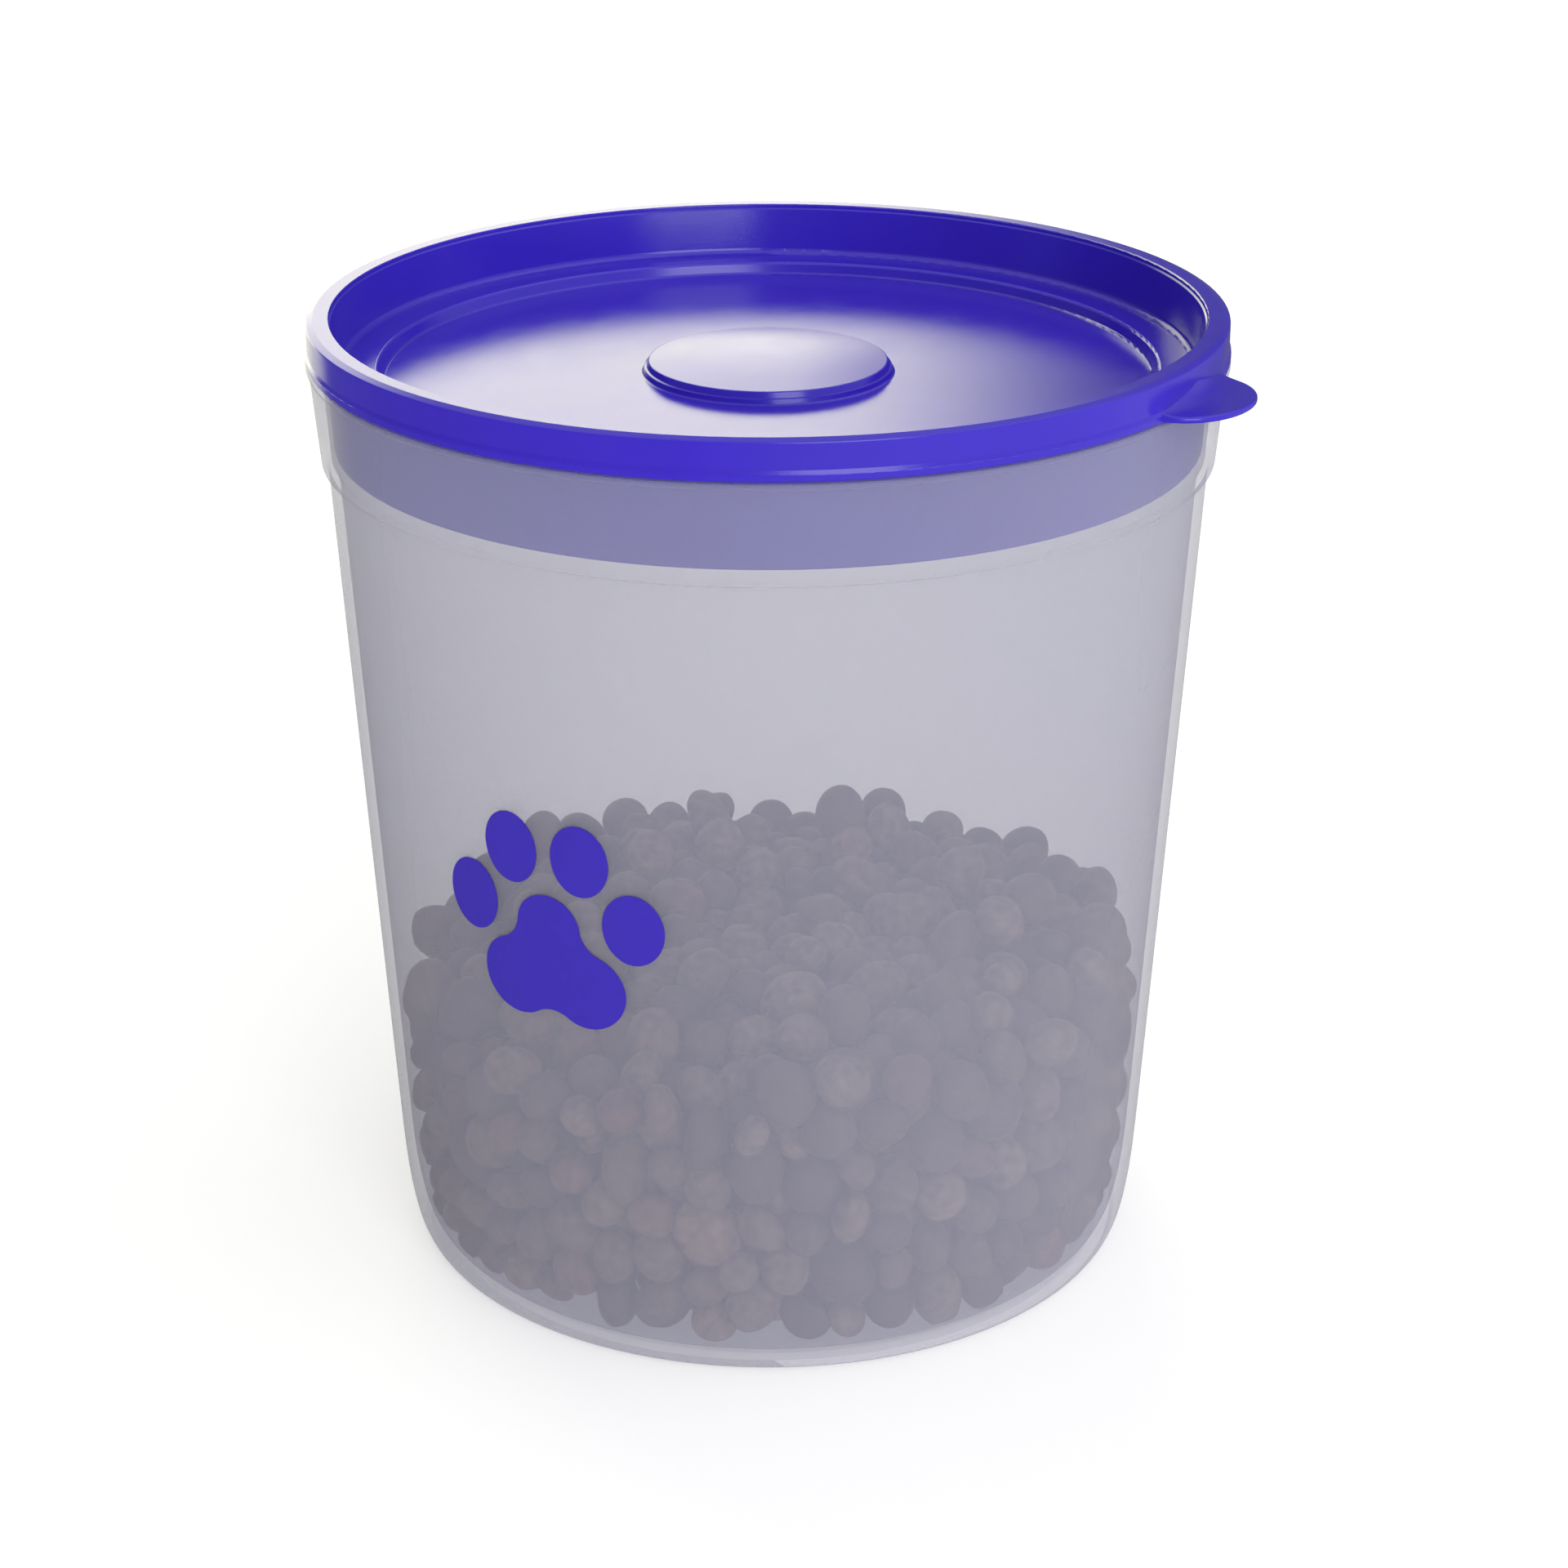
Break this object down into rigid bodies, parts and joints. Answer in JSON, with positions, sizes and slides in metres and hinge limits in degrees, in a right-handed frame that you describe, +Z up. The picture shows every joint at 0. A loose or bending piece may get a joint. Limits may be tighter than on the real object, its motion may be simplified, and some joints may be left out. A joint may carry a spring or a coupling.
{
  "type": "pet food storage canister",
  "caption": "Round tapered see-through pet food canister with a push-on lid with a pull tab and a raised round middle, a paw print on the wall and dry food inside.",
  "frame": {"origin": "centre of the ring the tub stands on, on the ground", "axes": "+Z up along the canister's axis, -Y towards the front; the pull tab points to the front right and the paw print faces the front left"},
  "size_m": [0.1818, 0.1808, 0.1956],
  "materials": {
    "clear_plastic": "clear polypropylene with a faint cool tint, glossy outside",
    "lid_plastic": "flexible blue polyethylene, fine moulded sheen",
    "print_film": "thin opaque blue film",
    "dry_food": "baked dry pet food, rough and matt"
  },
  "bodies": {
    "tub": {"tub": "clear_plastic", "food": "dry_food", "paw_palm_pad": "print_film", "paw_toe_1": "print_film", "paw_toe_2": "print_film", "paw_toe_3": "print_film", "paw_toe_4": "print_film"},
    "lid": {"lid": "lid_plastic"}
  },
  "joints": [
    {"name": "lid_lift", "type": "slide", "parent": "tub", "child": "lid", "axis": [0, 0, 1], "range_m": [0, 0.12]}
  ]
}
